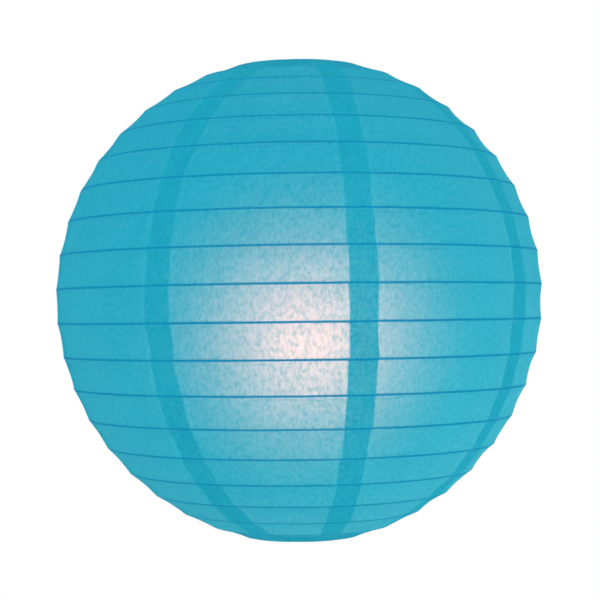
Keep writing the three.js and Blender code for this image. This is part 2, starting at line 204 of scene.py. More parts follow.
def moulded(name, settings):
    # plastic or metal: a base colour with slow tone, rubbed marks,
    # and a fine bump that may be stretched along Z
    material, tree, surface, _ = startMaterial(name)
    place = addNode(tree, "ShaderNodeTexCoord").outputs["Object"]
    stretch = addNode(tree, "ShaderNodeMapping")
    stretch.inputs["Scale"].default_value = settings.get("stretch", (1, 1, 1))
    tree.links.new(place, stretch.inputs["Vector"])
    grain = placeGroup(
        tree, fineGrain, stretch.outputs["Vector"], Grain_Size=settings["grain"], Patch_Size=settings["patch"]
    )
    marks = placeGroup(tree, handlingMarks, place, Size=settings["patch"] * 1.5, Amount=settings["marks"])
    tone = rampNode(tree, [(0.3, settings["deep"]), (0.7, settings["colour"])], grain.outputs["Tone"])
    worn = mixColours(tree, marks.outputs["Mask"], tone.outputs["Color"], settings["worn"])
    rough = addNode(tree, "ShaderNodeMapRange")
    low, high = settings["roughness"]
    setInputs(rough, **{"From Min": 0.3, "From Max": 0.7, "To Min": low, "To Max": high})
    bump = addNode(tree, "ShaderNodeBump")
    setInputs(bump, Strength=settings["bump"], Distance=settings.get("depth", 0.00003))
    joinNodes(
        tree,
        (worn, surface.inputs["Base Color"]),
        (grain.outputs["Height"], rough.inputs["Value"]),
        (rough.outputs["Result"], surface.inputs["Roughness"]),
        (grain.outputs["Height"], bump.inputs["Height"]),
        (bump.outputs["Normal"], surface.inputs["Normal"]),
    )
    setInputs(surface, Metallic=settings.get("metallic", 0), **{"Coat Weight": settings.get("coat", 0)})
    return material


drawnWire = moulded("drawnWire", {
    "colour": (0.62, 0.63, 0.64), "deep": (0.50, 0.51, 0.52), "worn": (0.40, 0.39, 0.37), "metallic": 1,
    "roughness": (0.2, 0.34), "grain": 0.0006, "patch": 0.009, "marks": 0.35, "bump": 0.25,
    "stretch": (1, 1, 0.12),
})
ribWire = moulded("ribWire", {
    "colour": (0.30, 0.34, 0.36), "deep": (0.22, 0.25, 0.27), "worn": (0.26, 0.25, 0.23), "metallic": 0.9,
    "roughness": (0.38, 0.55), "grain": 0.0008, "patch": 0.012, "marks": 0.4, "bump": 0.3,
})
lampPlastic = moulded("lampPlastic", {
    "colour": (0.80, 0.80, 0.77), "deep": (0.76, 0.76, 0.73), "worn": (0.70, 0.69, 0.65),
    "roughness": (0.38, 0.5), "grain": 0.0004, "patch": 0.014, "marks": 0.3, "bump": 0.3,
})
innerPlastic = moulded("innerPlastic", {
    "colour": (0.72, 0.72, 0.69), "deep": (0.66, 0.66, 0.63), "worn": (0.60, 0.59, 0.56),
    "roughness": (0.45, 0.6), "grain": 0.0005, "patch": 0.010, "marks": 0.35, "bump": 0.3,
})
switchPlastic = moulded("switchPlastic", {
    "colour": (0.045, 0.048, 0.052), "deep": (0.032, 0.034, 0.037), "worn": (0.09, 0.09, 0.095),
    "roughness": (0.42, 0.56), "grain": 0.00035, "patch": 0.005, "marks": 0.4, "bump": 0.35,
})
nickelPlate = moulded("nickelPlate", {
    "colour": (0.66, 0.63, 0.56), "deep": (0.58, 0.55, 0.49), "worn": (0.46, 0.43, 0.38), "metallic": 1,
    "roughness": (0.18, 0.32), "grain": 0.0005, "patch": 0.006, "marks": 0.3, "bump": 0.2,
})
ledLens = moulded("ledLens", {
    "colour": (0.95, 0.88, 0.66), "deep": (0.92, 0.82, 0.55), "worn": (0.88, 0.80, 0.60),
    "roughness": (0.12, 0.2), "grain": 0.0005, "patch": 0.004, "marks": 0.1, "bump": 0.05, "coat": 0.6,
})


def makeCellWrap():
    # shrink sleeve: dark body, a copper-coloured band at the upper third, and a faint lengthwise seam
    material, tree, surface, _ = startMaterial("cellWrap")
    place = addNode(tree, "ShaderNodeTexCoord").outputs["Object"]
    apart = addNode(tree, "ShaderNodeSeparateXYZ")
    tree.links.new(place, apart.inputs["Vector"])
    low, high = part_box("cell_1")
    bandStart = low[2] + 0.66 * (high[2] - low[2])
    band = mathNode(tree, "GREATER_THAN", apart.outputs["Z"], bandStart)
    tip = mathNode(tree, "GREATER_THAN", apart.outputs["Z"], high[2] - 1.2 * mm)
    grain = placeGroup(tree, fineGrain, place, Grain_Size=0.0006, Patch_Size=0.008)
    marks = placeGroup(tree, handlingMarks, place, Size=0.01, Amount=0.25)
    sleeve = mixColours(tree, band, (0.055, 0.062, 0.072), (0.46, 0.24, 0.11))
    sleeve = mixColours(tree, tip, sleeve, (0.6, 0.6, 0.58))
    rubbed = mixColours(tree, marks.outputs["Mask"], sleeve, (0.35, 0.34, 0.32))
    bump = setInputs(addNode(tree, "ShaderNodeBump"), Strength=0.15, Distance=0.00003)
    joinNodes(
        tree,
        (rubbed, surface.inputs["Base Color"]),
        (tip, surface.inputs["Metallic"]),
        (grain.outputs["Height"], bump.inputs["Height"]),
        (bump.outputs["Normal"], surface.inputs["Normal"]),
    )
    setInputs(surface, Roughness=0.3, **{"Coat Weight": 0.3})
    return material


def makeBoardFinish():
    # solder resist with paler copper runs showing through, and bright pads
    material, tree, surface, _ = startMaterial("solderResist")
    place = addNode(tree, "ShaderNodeTexCoord").outputs["Object"]
    runs = addNode(tree, "ShaderNodeTexBrick")
    setInputs(runs, Scale=1, **{"Mortar Size": 0.0004, "Brick Width": 0.006, "Row Height": 0.003})
    tree.links.new(place, runs.inputs["Vector"])
    pads = addNode(tree, "ShaderNodeTexVoronoi")
    setInputs(pads, Scale=260, Randomness=0.7)
    tree.links.new(place, pads.inputs["Vector"])
    onPad = mathNode(tree, "LESS_THAN", pads.outputs["Distance"], 0.16)
    resist = mixColours(tree, runs.outputs["Fac"], (0.012, 0.085, 0.035), (0.02, 0.13, 0.055))
    face = mixColours(tree, onPad, resist, (0.55, 0.55, 0.52))
    joinNodes(tree, (face, surface.inputs["Base Color"]), (onPad, surface.inputs["Metallic"]))
    setInputs(surface, Roughness=0.35)
    return material


glow = {
    "colour": (1.0, 0.57, 0.36),  # warm white of the lamp
    "dim": (0.38, 0.21, 0.13),
    "strength": 57.0,
    "brightPlace": (0.014, 0, 0.0075),  # its light sits off the middle of the globe
    "near": 0.013,
    "far": 0.037,
}


def makeFrostedGlobe():
    # frosted shell, brightest low down where its light sits, with the tooth of the blasted surface
    material, tree, surface, _ = startMaterial("frostedGlobe")
    place = addNode(tree, "ShaderNodeTexCoord").outputs["Object"]
    low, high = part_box("lamp_globe")
    centre = Vector(((low[0] + high[0]) / 2, (low[1] + high[1]) / 2, low[2] + (high[0] - low[0]) / 2))
    offset = addNode(tree, "ShaderNodeVectorMath", operation="DISTANCE")
    offset.inputs[1].default_value = centre + Vector(glow["brightPlace"])
    near = addNode(tree, "ShaderNodeMapRange")
    setInputs(near, **{"From Min": glow["near"], "From Max": glow["far"], "To Min": 1, "To Max": 0})
    mottle = placeGroup(tree, fineGrain, place, Grain_Size=0.0005, Patch_Size=0.012)
    shade = mixColours(tree, near.outputs["Result"], glow["dim"], glow["colour"])
    frost = rampNode(tree, [(0.3, (0.88, 0.89, 0.9)), (0.7, (0.94, 0.95, 0.96))], mottle.outputs["Tone"])
    bump = setInputs(addNode(tree, "ShaderNodeBump"), Strength=0.3, Distance=0.00003)
    joinNodes(
        tree,
        (place, offset.inputs[0]),
        (offset.outputs["Value"], near.inputs["Value"]),
        (shade, surface.inputs["Emission Color"]),
        (frost.outputs["Color"], surface.inputs["Base Color"]),
        (mottle.outputs["Height"], bump.inputs["Height"]),
        (bump.outputs["Normal"], surface.inputs["Normal"]),
    )
    setInputs(surface, Roughness=0.65, **{"Emission Strength": glow["strength"]})
    return material


# Tissue: dyed fibres that reflect, scatter and let some light straight through.
# Where two sheets are glued or lie over a wire, less comes through; the darker line over each wire is paste and
# painted shade of the wire, in every colour of the sheet.
tissue = {
    "colour": (0.008, 0.470, 0.668),
    "deep": (0.007, 0.450, 0.648),
    "pale": (0.012, 0.488, 0.684),
    "behind": (0.085, 0.585, 0.745),  # light that scatters through the sheet
    "straight": (1.0, 0.70, 0.64),  # light that finds its way between the fibres
    "reflects": 0.66,
    "leakSteps": [(0.40, 0.50), (0.5, 0.88), (0.60, 1.12)],  # closed to open fibres, and how much each lets by
    "leaks": 0.45,  # share of what isn't reflected that goes between the fibres
    "spread": 1.50,
    "fibreSpread": 0.0024,  # relief of the upright fibres, which widens the leak sideways
    "slantPower": 0.8,
    "slanted": (0.02, 0.20, 0.26),
    "fromInside": 0.2,  # share of the leak that is left on the fuzzy inner face
    "pasted": (1.35, 1.10, 1.05),  # paste clears the sheet a little on a lap
    # darker over each wire: paste and painted shade of the wire
    "wireShadeAndPaste": (0.90, 0.76, 0.98),
    "lineHalfWidth": 0.00062,
    "lineWander": 0.0006,
    "foldBelow": 0.0024,  # painted shade of a faint fold under some wires
}


def makePasteMarks():
    # dark scribbles of crumpled, pasted paper: thin warped cell edges, kept in a few patches
    group, given, result = shaderGroup(
        "pasteMarks",
        [
            ("Vector", "NodeSocketVector", None),
            ("Cell Size", "NodeSocketFloat", 0.006),
            ("Zone", "NodeSocketFloat", 1),
        ],
        [("Mask", "NodeSocketFloat")],
    )
    scale = addNode(group, "ShaderNodeMath", operation="DIVIDE")
    scale.inputs[0].default_value = 1
    warp = setInputs(addNode(group, "ShaderNodeTexNoise"), Scale=160, Detail=2)
    lean = addNode(group, "ShaderNodeVectorMath", operation="SCALE")
    lean.inputs["Scale"].default_value = 0.006
    moved = addNode(group, "ShaderNodeVectorMath", operation="ADD")
    cells = addNode(group, "ShaderNodeTexVoronoi", feature="DISTANCE_TO_EDGE")
    lines = addNode(group, "ShaderNodeMapRange")
    setInputs(lines, **{"From Min": 0.02, "From Max": 0.16, "To Min": 1, "To Max": 0})
    patches = setInputs(addNode(group, "ShaderNodeTexNoise"), Scale=75, Detail=1)
    few = setInputs(addNode(group, "ShaderNodeMapRange"), **{"From Min": 0.50, "From Max": 0.62})
    both = addNode(group, "ShaderNodeMath", operation="MULTIPLY")
    zoned = addNode(group, "ShaderNodeMath", operation="MULTIPLY")
    joinNodes(
        group,
        (given.outputs["Cell Size"], scale.inputs[1]),
        (given.outputs["Vector"], warp.inputs["Vector"]),
        (warp.outputs["Color"], lean.inputs[0]),
        (given.outputs["Vector"], moved.inputs[0]),
        (lean.outputs[0], moved.inputs[1]),
        (moved.outputs[0], cells.inputs["Vector"]),
        (scale.outputs[0], cells.inputs["Scale"]),
        (cells.outputs["Distance"], lines.inputs["Value"]),
        (given.outputs["Vector"], patches.inputs["Vector"]),
        (patches.outputs["Fac"], few.inputs["Value"]),
        (lines.outputs["Result"], both.inputs[0]),
        (few.outputs["Result"], both.inputs[1]),
        (both.outputs[0], zoned.inputs[0]),
        (given.outputs["Zone"], zoned.inputs[1]),
        (zoned.outputs[0], result.inputs["Mask"]),
    )
    return group


def makeTissue():
    material, tree, surface, output = startMaterial("dyedTissue")
    sheetPlace = addNode(tree, "ShaderNodeAttribute", attribute_name="sheetPlace").outputs["Vector"]
    fromWire = addNode(tree, "ShaderNodeAttribute", attribute_name="fromWire").outputs["Fac"]
    onLap = addNode(tree, "ShaderNodeAttribute", attribute_name="onLap").outputs["Fac"]

    along = addNode(tree, "ShaderNodeMapping")  # fibres run mostly up and down the gore
    along.inputs["Scale"].default_value = (1, 0.55, 1)
    tree.links.new(sheetPlace, along.inputs["Vector"])
    fibres = placeGroup(tree, fineGrain, along.outputs["Vector"], Grain_Size=0.0016, Patch_Size=0.0045)
    clouds = placeGroup(tree, fineGrain, sheetPlace, Grain_Size=0.0034, Patch_Size=0.035)
    fine = mathNode(tree, "MULTIPLY", fibres.outputs["Height"], 0.6)
    both = mathNode(tree, "ADD", fine, mathNode(tree, "MULTIPLY", clouds.outputs["Height"], 0.4))
    dye = rampNode(tree, [(0.38, tissue["deep"]), (0.5, tissue["colour"]), (0.64, tissue["pale"])], both)
    slow = rampNode(tree, [(0.3, (0.95, 0.97, 0.98)), (0.7, (1.0, 1.0, 1.0))], clouds.outputs["Tone"])
    dyed = mixColours(tree, 1.0, dye.outputs["Color"], slow.outputs["Color"], "MULTIPLY")

    # line over each wire, wandering a little from it: paste and painted shade of the wire
    drift = addNode(tree, "ShaderNodeTexNoise")
    setInputs(drift, Scale=38, Detail=2)
    tree.links.new(sheetPlace, drift.inputs["Vector"])
    wander = mathNode(tree, "MULTIPLY_ADD", drift.outputs["Fac"], tissue["lineWander"])
    wander.node.inputs[2].default_value = -tissue["lineWander"] / 2
    placed = mathNode(tree, "ADD", fromWire, wander)
    half = tissue["lineHalfWidth"]
    wireShadeAndPasteLine = addNode(tree, "ShaderNodeMapRange", interpolation_type="SMOOTHSTEP")
    setInputs(wireShadeAndPasteLine, **{"From Min": half * 0.55, "From Max": half * 1.5, "To Min": 1, "To Max": 0})
    tree.links.new(mathNode(tree, "ABSOLUTE", placed), wireShadeAndPasteLine.inputs["Value"])

    # painted shade of a faint fold below some stretches of wire
    sway = mathNode(tree, "MULTIPLY_ADD", clouds.outputs["Tone"], 0.003)
    sway.node.inputs[2].default_value = -0.0015 - tissue["foldBelow"]
    foldPlace = mathNode(tree, "ABSOLUTE", mathNode(tree, "ADD", fromWire, sway))
    foldShadeLine = addNode(tree, "ShaderNodeMapRange", interpolation_type="SMOOTHSTEP")
    setInputs(foldShadeLine, **{"From Min": 0.0001, "From Max": 0.0007, "To Min": 1, "To Max": 0})
    tree.links.new(foldPlace, foldShadeLine.inputs["Value"])
    stretches = addNode(tree, "ShaderNodeMapRange")
    setInputs(stretches, **{"From Min": 0.52, "From Max": 0.6, "To Max": 0.55})
    tree.links.new(drift.outputs["Fac"], stretches.inputs["Value"])
    foldShade = mathNode(tree, "MULTIPLY", foldShadeLine.outputs["Result"], stretches.outputs["Result"])

    marks = addNode(tree, "ShaderNodeGroup", node_tree=makePasteMarks())
    tree.links.new(sheetPlace, marks.inputs["Vector"])
    tree.links.new(onLap, marks.inputs["Zone"])
    marks.inputs["Cell Size"].default_value = 0.0055
    # paste marks together with the painted shade of the fold
    pasteAndFoldShade = mathNode(tree, "MAXIMUM", mathNode(tree, "MULTIPLY", marks.outputs["Mask"], 0.55), foldShade)

    # darker over each wire: paste and painted shade of the wire
    lined = mixColours(
        tree, wireShadeAndPasteLine.outputs["Result"], dyed, mixColours(tree, 1.0, dyed, tissue["wireShadeAndPaste"], "MULTIPLY")
    )
    lined = mixColours(tree, onLap, lined, mixColours(tree, 1.0, lined, tissue["pasted"], "MULTIPLY"))
    # darker in paste marks, and painted shade along the fold
    pastedAndShaded = mixColours(tree, pasteAndFoldShade, lined, mixColours(tree, 1.0, lined, (0.7, 0.82, 0.92), "MULTIPLY"))
    tree.links.new(pastedAndShaded, surface.inputs["Base Color"])
    setInputs(surface, Roughness=0.85, **{"Specular IOR Level": 0.06})

    # crinkle and fibre relief
    crinkle = addNode(tree, "ShaderNodeTexNoise")
    setInputs(crinkle, Scale=190, Detail=3, Roughness=0.55)
    tree.links.new(along.outputs["Vector"], crinkle.inputs["Vector"])
    combedHeight = mathNode(tree, "MULTIPLY", fibres.outputs["Height"], 0.25)
    relief = mathNode(tree, "ADD", crinkle.outputs["Fac"], combedHeight)
    relief = mathNode(tree, "SUBTRACT", relief, mathNode(tree, "MULTIPLY", pasteAndFoldShade, 0.8))
    bump = setInputs(addNode(tree, "ShaderNodeBump"), Strength=0.4, Distance=0.00022)
    joinNodes(tree, (relief, bump.inputs["Height"]), (bump.outputs["Normal"], surface.inputs["Normal"]))

    scatter = addNode(tree, "ShaderNodeBsdfTranslucent")
    # scatter is darker over each wire: paste and painted shade of the wire
    through = mixColours(tree, wireShadeAndPasteLine.outputs["Result"], tissue["behind"], (0.010, 0.30, 0.60))
    tree.links.new(mixColours(tree, 1.0, through, slow.outputs["Color"], "MULTIPLY"), scatter.inputs["Color"])
    tree.links.new(bump.outputs["Normal"], scatter.inputs["Normal"])

    # between the fibres: patchy, and closed where the paste is
    leak = addNode(tree, "ShaderNodeBsdfRefraction", distribution="GGX")
    setInputs(leak, Roughness=1.0, IOR=tissue["spread"])
    patchy = rampNode(
        tree,
        [(place, tuple(share * c for c in tissue["straight"])) for place, share in tissue["leakSteps"]],
        both,
    )
    # less leaks over each wire: paste and painted shade of the wire
    leakColour = mixColours(tree, wireShadeAndPasteLine.outputs["Result"], patchy.outputs["Color"], (0.10, 0.16, 0.22))
    leakColour = mixColours(tree, pasteAndFoldShade, leakColour, (0.30, 0.40, 0.45))
    inside = addNode(tree, "ShaderNodeNewGeometry").outputs["Backfacing"]
    dimmed = mixColours(tree, 1.0, leakColour, (tissue["fromInside"],) * 3, "MULTIPLY")
    leakColour = mixColours(tree, inside, leakColour, dimmed)
    # a slanted path through the sheet is longer
    slant = setInputs(addNode(tree, "ShaderNodeLayerWeight"), Blend=0.5)
    slantShare = mathNode(tree, "POWER", slant.outputs["Facing"], tissue["slantPower"])
    leakColour = mixColours(tree, slantShare, leakColour, tissue["slanted"])
    upright = addNode(tree, "ShaderNodeMapping")
    upright.inputs["Scale"].default_value = (1, 0.14, 1)
    combed = addNode(tree, "ShaderNodeTexNoise")
    setInputs(combed, Scale=430, Detail=1)
    sideways = setInputs(addNode(tree, "ShaderNodeBump"), Strength=1, Distance=tissue["fibreSpread"])
    joinNodes(
        tree,
        (sheetPlace, upright.inputs["Vector"]),
        (upright.outputs["Vector"], combed.inputs["Vector"]),
        (combed.outputs["Fac"], sideways.inputs["Height"]),
        (sideways.outputs["Normal"], leak.inputs["Normal"]),
        (leakColour, leak.inputs["Color"]),
    )

    passing = addNode(tree, "ShaderNodeMixShader")
    passing.inputs["Fac"].default_value = tissue["leaks"]
    sheet = addNode(tree, "ShaderNodeMixShader")
    sheet.inputs["Fac"].default_value = 1 - tissue["reflects"]
    joinNodes(
        tree,
        (scatter.outputs[0], passing.inputs[1]),
        (leak.outputs[0], passing.inputs[2]),
        (surface.outputs[0], sheet.inputs[1]),
        (passing.outputs[0], sheet.inputs[2]),
        (sheet.outputs[0], output.inputs["Surface"]),
    )
    return material


dyedTissue = makeTissue()
frostedGlobe = makeFrostedGlobe()
cellWrap = makeCellWrap()
solderResist = makeBoardFinish()
print("finishes made")


# Small helpers for meshes


def keepMesh(name, mesh, material=None, smooth=True):
    if material is not None:
        mesh.materials.clear()
        mesh.materials.append(material)
    if smooth:
        mesh.shade_smooth()
    piece = bpy.data.objects.new(name, mesh)
    scene.collection.objects.link(piece)
    return piece


def meshFrom(name, points, faces, material=None, smooth=True):
    mesh = bpy.data.meshes.new(name)
    mesh.from_pydata([tuple(p) for p in points], [], faces)
    mesh.update()
    return keepMesh(name, mesh, material, smooth)


def applyAll(piece):
    # bakes the modifiers of a piece into its mesh
    graph = bpy.context.evaluated_depsgraph_get()
    mesh = bpy.data.meshes.new_from_object(piece.evaluated_get(graph))
    piece.modifiers.clear()
    piece.data = mesh
    return piece


def softenEdges(piece, width, segments=2, angle=35):
    bevel = piece.modifiers.new("softEdges", "BEVEL")
    bevel.width, bevel.segments, bevel.limit_method = width, segments, "ANGLE"
    bevel.angle_limit = math.radians(angle)
    return applyAll(piece)


def hand(piece, body, node):
    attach(piece, body)
    if node:
        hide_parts(node)
    return piece


def turnedPiece(name, profile, material, segments=96):
    # solid of revolution about the Z axis from (radius, height) pairs that start and end on the axis
    points, faces, rings = [], [], []
    for radius, height in profile:
        if radius < 1e-7:
            rings.append([len(points)])
            points.append((0, 0, height))
            continue
        rings.append(range(len(points), len(points) + segments))
        for i in range(segments):
            turn = 2 * math.pi * i / segments
            points.append((radius * math.cos(turn), radius * math.sin(turn), height))
    for low, high in zip(rings, rings[1:]):
        for i in range(segments):
            n = (i + 1) % segments
            if len(low) == 1:
                faces.append((low[0], high[n], high[i]))
            elif len(high) == 1:
                faces.append((low[i], low[n], high[0]))
            else:
                faces.append((low[i], low[n], high[n], high[i]))
    piece = meshFrom(name, points, faces, material)
    turnOutwards(piece)
    return piece


def turnOutwards(piece):
    work = bmesh.new()
    work.from_mesh(piece.data)
    bmesh.ops.remove_doubles(work, verts=work.verts, dist=1e-6)
    bmesh.ops.recalc_face_normals(work, faces=work.faces)
    work.to_mesh(piece.data)
    work.free()
    piece.data.update()


def wirePiece(name, path, radius, material, ends=True):
    # round wire along a path, with slightly domed ends
    curve = bpy.data.curves.new(name, "CURVE")
    curve.dimensions = "3D"
    curve.bevel_depth, curve.bevel_resolution, curve.use_fill_caps = radius, 4, ends
    run = curve.splines.new("POLY")
    run.points.add(len(path) - 1)
    for point, place in zip(run.points, path):
        point.co = (*place, 1)
        point.radius = 1
    if ends:
        run.points[0].radius = run.points[-1].radius = 0.7
    holder = bpy.data.objects.new(name + "Path", curve)
    scene.collection.objects.link(holder)
    graph = bpy.context.evaluated_depsgraph_get()
    mesh = bpy.data.meshes.new_from_object(holder.evaluated_get(graph))
    bpy.data.objects.remove(holder)
    piece = keepMesh(name, mesh, material)
    turnOutwards(piece)
    return piece


def bentThrough(corners, radius, steps=10):
    # a run through corners, each rounded off to about this radius
    path = [Vector(corners[0])]
    for before, here, after in zip(corners, corners[1:], corners[2:]):
        here = Vector(here)
        back, on = Vector(before) - here, Vector(after) - here
        reach = min(radius * math.tan((math.pi - back.angle(on)) / 2), 0.45 * min(back.length, on.length))
        start, end = here + back.normalized() * reach, here + on.normalized() * reach
        for i in range(steps + 1):
            t = i / steps
            path.append(start * (1 - t) ** 2 + here * 2 * t * (1 - t) + end * t * t)
    return path + [Vector(corners[-1])]


def arcRun(centre, radius, first, second, start, end, steps):
    places = []
    for i in range(steps + 1):
        turn = start + (end - start) * i / steps
        across, up = Vector(first) * radius * math.cos(turn), Vector(second) * radius * math.sin(turn)
        places.append(Vector(centre) + across + up)
    return places


# Hoops and end rings, as the frame has them


def hoopSize(node):
    low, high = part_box(node)
    reach = max(math.hypot(v.co.x, v.co.y) for v in nodes[node].data.vertices)
    wire = (high[2] - low[2]) / 2
    return {"node": node, "radius": reach - wire, "height": (low[2] + high[2]) / 2, "wire": wire}


hoops = [hoopSize(name) for name in ["top_ring"] + [f"rib_{i:02d}" for i in range(1, 19)] + ["bottom_ring"]]
topHeight, bottomHeight = hoops[0]["height"], hoops[-1]["height"]
shadeRadius = 0.1525
shadeCentre = topHeight - 0.14631  # height of the globe's middle


def hoopTree():
    # one closed wire hoop, lying level
    tree = bpy.data.node_groups.new("sprungHoop", "GeometryNodeTree")
    for label, kind, value in (
        ("Radius", "NodeSocketFloat", 0.1), ("Height", "NodeSocketFloat", 0.0),
        ("Wire Radius", "NodeSocketFloat", 0.0006), ("Around", "NodeSocketInt", 160),
        ("Finish", "NodeSocketMaterial", None),
    ):
        socket = tree.interface.new_socket(label, in_out="INPUT", socket_type=kind)
        if value is not None:
            socket.default_value = value
    tree.interface.new_socket("Geometry", in_out="OUTPUT", socket_type="NodeSocketGeometry")
    given, result = addNode(tree, "NodeGroupInput"), addNode(tree, "NodeGroupOutput")
    hoop = addNode(tree, "GeometryNodeCurvePrimitiveCircle", mode="RADIUS")
    section = addNode(tree, "GeometryNodeCurvePrimitiveCircle", mode="RADIUS")
    setInputs(section, Resolution=8)
    lift = addNode(tree, "GeometryNodeSetPosition")
    upwards = addNode(tree, "ShaderNodeCombineXYZ")
    sweep = addNode(tree, "GeometryNodeCurveToMesh")
    smooth = addNode(tree, "GeometryNodeSetShadeSmooth")
    real = addNode(tree, "GeometryNodeRealizeInstances")
    paint = addNode(tree, "GeometryNodeSetMaterial")
    joinNodes(
        tree,
        (given.outputs["Radius"], hoop.inputs["Radius"]),
        (given.outputs["Around"], hoop.inputs["Resolution"]),
        (given.outputs["Wire Radius"], section.inputs["Radius"]),
        (given.outputs["Height"], upwards.inputs["Z"]),
        (hoop.outputs["Curve"], lift.inputs["Geometry"]),
        (upwards.outputs["Vector"], lift.inputs["Offset"]),
        (lift.outputs["Geometry"], sweep.inputs["Curve"]),
        (section.outputs["Curve"], sweep.inputs["Profile Curve"]),
        (sweep.outputs["Mesh"], smooth.inputs["Geometry"]),
        (smooth.outputs["Geometry"], real.inputs["Geometry"]),
        (real.outputs["Geometry"], paint.inputs["Geometry"]),
        (given.outputs["Finish"], paint.inputs["Material"]),
        (paint.outputs["Geometry"], result.inputs["Geometry"]),
    )
    return tree


def growTree(name, tree, values):
    # runs a Geometry Nodes tree once and keeps its result as a plain mesh
    holder = bpy.data.objects.new(name, bpy.data.meshes.new(name + "Seed"))
    scene.collection.objects.link(holder)
    run = holder.modifiers.new("grow", "NODES")
    run.node_group = tree
    sockets = {item.name: item.identifier for item in tree.interface.items_tree if item.in_out == "INPUT"}
    for label, value in values.items():
        run[sockets[label]] = value
    graph = bpy.context.evaluated_depsgraph_get()
    mesh = bpy.data.meshes.new_from_object(holder.evaluated_get(graph))
    holder.modifiers.clear()
    holder.data = mesh
    turnOutwards(holder)
    return holder


sprungHoop = hoopTree()
for hoop in hoops:
    node = hoop["node"]
    isRing = node.endswith("ring")
    title = node.split("_")[0] + ("Ring" if isRing else "Hoop" + node[-2:])
    finish = drawnWire if isRing else ribWire
    values = {"Radius": hoop["radius"], "Height": hoop["height"], "Wire Radius": hoop["wire"], "Finish": finish}
    piece = growTree(title, sprungHoop, values)
    body = {"top_ring": "frame"}.get(node, node)
    hand(piece, body, node)
print("hoops made:", len(hoops))


# Paper gores

gores = {
    "count": 8,
    "firstSeam": -79.5,  # degrees round from +X to the leading edge of the first gore
    "lapMiddle": 0.016,
    "lapEnd": 0.0135,
    "columns": 44,
    "lapColumns": 10,
    "stand": 0.00015,  # between a wire and its paper
    "layer": 0.0001,  # an outer sheet stands this far off the one under it
    "sag": 0.00085,  # how far the paper draws in between two wires
    "edgeWobble": 0.0011,
    "hem": 0.015,  # turned in round the end rings and pasted back
    "pucker": 0.00022,
    "seed": 7,
}


def softNoise(x, y, z=0.0):
    return noise.noise(Vector((x, y, z + gores["seed"] * 13.7)))


def lapWidth(hoop):
    latitude = math.asin(max(-1, min(1, (hoop["height"] - shadeCentre) / shadeRadius)))
    return gores["lapEnd"] + (gores["lapMiddle"] - gores["lapEnd"]) * math.cos(latitude)


def outwardAt(hoop):
    # direction in which the paper faces, as (radial, up)
    across, up = hoop["radius"], hoop["height"] - shadeCentre
    length = math.hypot(across, up)
    return across / length, up / length


bandSteps = [0, 0.022, 0.05, 0.12, 0.24, 0.37, 0.5, 0.63, 0.76, 0.88, 0.95, 0.978]


def edgeWobble(index, edge, band, t):
    # each band was pasted by hand: its edge starts and ends a little off, and bows between
    start = softNoise(index * 3.1 + edge * 17, band * 1.37)
    end = softNoise(index * 3.1 + edge * 17, band * 1.37 + 0.9)
    bow = softNoise(index * 5.3 + edge * 11, band * 2.1, 4)
    return gores["edgeWobble"] * (1.8 * (start * (1 - t) + end * t) + 1.2 * bow * 4 * t * (1 - t))


def meridianAt(band, t, climb, sagShare):
    # a point of the paper in the plane through the axis, between two wires
    here, there = hoops[band], hoops[band + 1]
    ends = []
    for hoop in (here, there):
        radial, up = outwardAt(hoop)
        out = hoop["wire"] + gores["stand"] + climb
        ends.append((hoop["radius"] + radial * out, hoop["height"] + up * out))
    (r0, z0), (r1, z1) = ends
    radial0, up0 = outwardAt(here)
    radial1, up1 = outwardAt(there)
    drawn = gores["sag"] * sagShare * 4 * t * (1 - t)
    radial, up = radial0 * (1 - t) + radial1 * t, up0 * (1 - t) + up1 * t
    return r0 * (1 - t) + r1 * t - radial * drawn, z0 * (1 - t) + z1 * t - up * drawn


def roundNoise(turn, radius, size, z):
    # noise that runs round the globe without a join
    return softNoise(radius / size * math.cos(turn), radius / size * math.sin(turn), z)


def smoothShare(value):
    value = max(0.0, min(1.0, value))
    return value * value * (3 - 2 * value)


def paperPoint(band, t, azimuth, seam, offset, lap):
    # a point of one gore; sheets that lie on each other share every crease
    step = 2 * math.pi / gores["count"]
    turn = seam + azimuth
    radiusHere = hoops[band]["radius"] * (1 - t) + hoops[band + 1]["radius"] * t
    doubled = 1 - 0.45 * max(1 - smoothShare((azimuth - lap) / 0.05), smoothShare((azimuth - step) / 0.05 + 1))
    share = doubled * (1 + 0.9 * roundNoise(turn, radiusHere, 0.05, band * 2.3))
    layer = gores["layer"] * smoothShare((azimuth - lap) / (step - lap))
    radius, height = meridianAt(band, t, layer + offset, share)
    pucker = roundNoise(turn, radiusHere, 0.0045, band * 5.7 + t * 1.3)
    fade = max(0.0, 1 - t / 0.45) ** 2 + 0.6 * max(0.0, (t - 0.65) / 0.35) ** 2
    fade *= min(1.0, 12 * t, 12 * (1 - t))
    crease = roundNoise(turn, radiusHere, 0.016, t * 3.1 + band * 9.1)
    radius += gores["pucker"] * (pucker * fade + crease * 4 * t * (1 - t))
    return turn, radius, height


